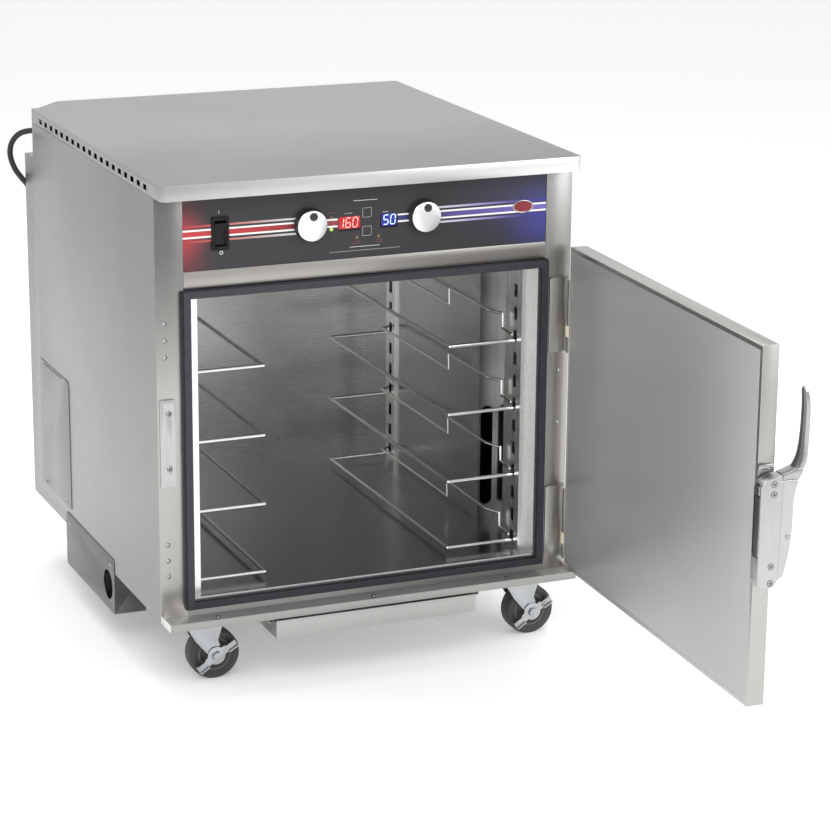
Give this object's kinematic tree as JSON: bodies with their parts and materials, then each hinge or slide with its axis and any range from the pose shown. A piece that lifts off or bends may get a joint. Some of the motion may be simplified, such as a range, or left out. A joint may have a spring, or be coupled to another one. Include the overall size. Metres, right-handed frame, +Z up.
{
  "type": "food holding cabinet",
  "caption": "Half-height heated food holding cabinet: insulated steel body on casters, hinged door standing open, wire pan slides and a control panel.",
  "frame": {"origin": "on the floor, below the middle of the box around the cabinet with its door standing open", "axes": "+Z up, the cabinet faces -Y, +X towards the door hinges"},
  "size_m": [0.7594, 1.6047, 0.83],
  "materials": {
    "steel": "brushed, bright",
    "liner": "bright drawn sheet",
    "wire": "nickel plated wire",
    "insulation": "mineral wool",
    "overlay": "satin printed film",
    "red_display": "dark window with red digits",
    "green_light": "translucent lens",
    "black_plastic": "fine texture",
    "electronics": "circuit board and parts",
    "dark_metal": "oxidised sheath and castings",
    "cast": "die cast, satin",
    "chrome": "plated die casting",
    "zinc": "bright zinc plate",
    "gasket": "grey silicone",
    "bushing": "natural nylon",
    "knob": "spun face",
    "key": "film with a pale outline",
    "magnet": "bonded magnet",
    "tread": "grey thermoplastic rubber",
    "cord": "black jacket"
  },
  "bodies": {
    "cabinet": {"side_panel_left": "steel", "side_panel_right": "steel", "rear_panel": "steel", "control_bay_back": "steel", "top_panel": "steel", "front_frame": "steel", "sill_trough": "steel", "base_pan": "steel", "control_deck": "liner", "cavity_liner": "liner", "insulation": "insulation", "control_plate": "steel", "control_overlay": "overlay", "displays": "red_display", "indicator_lights": "green_light", "switch_bezel": "black_plastic", "control_electronics": "electronics", "air_heater": "dark_metal", "blower_motor": "cast", "ceiling_plenum": "liner", "humidity_boiler": "steel", "air_ducts": "liner", "slide_uprights": "liner", "slides_left": "wire", "slides_right": "wire", "door_gasket": "gasket", "strike_plate": "steel", "hinge_frame_leaves": "steel", "hinge_bushings": "bushing", "body_screws": "chrome", "service_box": "steel", "access_cover": "steel", "caster_mounts": "zinc", "cord_gland": "black_plastic", "power_cord": "cord", "cord_coil": "cord", "cord_plug": "black_plastic"},
    "door": {"door_outer_skin": "steel", "door_inner_pan": "liner", "door_insulation": "insulation", "hinge_door_leaves": "steel", "latch_body": "chrome", "latch_magnet": "magnet", "latch_fixings": "chrome"},
    "latch_handle": {"latch_lever": "chrome"},
    "temperature_knob": {"knob_temperature": "knob"},
    "humidity_knob": {"knob_humidity": "knob"},
    "rocker": {"power_rocker": "black_plastic"},
    "upper_key": {"key_upper": "key"},
    "lower_key": {"key_lower": "key"},
    "tray": {"drip_tray": "steel"},
    "left_fork": {"caster_fork_left": "zinc"},
    "right_fork": {"caster_fork_right": "zinc"},
    "left_brake": {"brake_left": "zinc"},
    "right_brake": {"brake_right": "zinc"},
    "front_left_wheel": {"wheel_front_left": "tread"},
    "front_right_wheel": {"wheel_front_right": "tread"},
    "rear_left_wheel": {"wheel_rear_left": "tread"},
    "rear_right_wheel": {"wheel_rear_right": "tread"},
    "blower": {"fan_wheel": "cast"}
  },
  "joints": [
    {"name": "door_hinge", "type": "hinge", "parent": "cabinet", "child": "door", "pos_m": [0.32713, -0.03171, 0.4], "axis": [0, 0, 1], "range_deg": [-88, 92]},
    {"name": "latch_pull", "type": "hinge", "parent": "door", "child": "latch_handle", "pos_m": [0.33527, -0.71541, 0.407], "axis": [0.0349, 0.9994, 0], "range_deg": [0, 14], "stiffness_Nm_per_rad": 0.6},
    {"name": "temperature_turn", "type": "hinge", "parent": "cabinet", "child": "temperature_knob", "pos_m": [-0.11587, -0.02271, 0.747], "axis": [0, -1, 0], "continuous": true},
    {"name": "humidity_turn", "type": "hinge", "parent": "cabinet", "child": "humidity_knob", "pos_m": [0.07513, -0.02271, 0.747], "axis": [0, -1, 0], "continuous": true},
    {"name": "rocker_tilt", "type": "hinge", "parent": "cabinet", "child": "rocker", "pos_m": [-0.26187, -0.00871, 0.7444], "axis": [1, 0, 0], "range_deg": [-16, 0]},
    {"name": "upper_key_press", "type": "slide", "parent": "cabinet", "child": "upper_key", "axis": [0, 1, 0], "range_m": [0, 0.0004], "stiffness_N_per_m": 400},
    {"name": "lower_key_press", "type": "slide", "parent": "cabinet", "child": "lower_key", "axis": [0, 1, 0], "range_m": [0, 0.0004], "stiffness_N_per_m": 400},
    {"name": "tray_slide", "type": "slide", "parent": "cabinet", "child": "tray", "axis": [0, -1, 0], "range_m": [0, 0.28]},
    {"name": "left_swivel", "type": "hinge", "parent": "cabinet", "child": "left_fork", "pos_m": [-0.29687, 0.05029, 0.06], "axis": [0, 0, 1], "continuous": true},
    {"name": "right_swivel", "type": "hinge", "parent": "cabinet", "child": "right_fork", "pos_m": [0.26313, 0.05029, 0.06], "axis": [0, 0, 1], "continuous": true},
    {"name": "front_left_roll", "type": "hinge", "parent": "left_fork", "child": "front_left_wheel", "pos_m": [-0.26187, 0.05029, 0.042], "axis": [0, 1, 0], "continuous": true},
    {"name": "front_right_roll", "type": "hinge", "parent": "right_fork", "child": "front_right_wheel", "pos_m": [0.29813, 0.05029, 0.042], "axis": [0, 1, 0], "continuous": true},
    {"name": "rear_left_roll", "type": "hinge", "parent": "cabinet", "child": "rear_left_wheel", "pos_m": [-0.29687, 0.66029, 0.042], "axis": [1, 0, 0], "continuous": true},
    {"name": "rear_right_roll", "type": "hinge", "parent": "cabinet", "child": "rear_right_wheel", "pos_m": [0.26313, 0.66029, 0.042], "axis": [1, 0, 0], "continuous": true},
    {"name": "left_brake_press", "type": "hinge", "parent": "left_fork", "child": "left_brake", "pos_m": [-0.26187, 0.03029, 0.042], "axis": [0, 1, 0], "range_deg": [0, 20]},
    {"name": "right_brake_press", "type": "hinge", "parent": "right_fork", "child": "right_brake", "pos_m": [0.29813, 0.03029, 0.042], "axis": [0, 1, 0], "range_deg": [0, 20]},
    {"name": "fan_turn", "type": "hinge", "parent": "cabinet", "child": "blower", "pos_m": [-0.01687, 0.57529, 0.625], "axis": [0, 0, 1], "continuous": true}
  ]
}
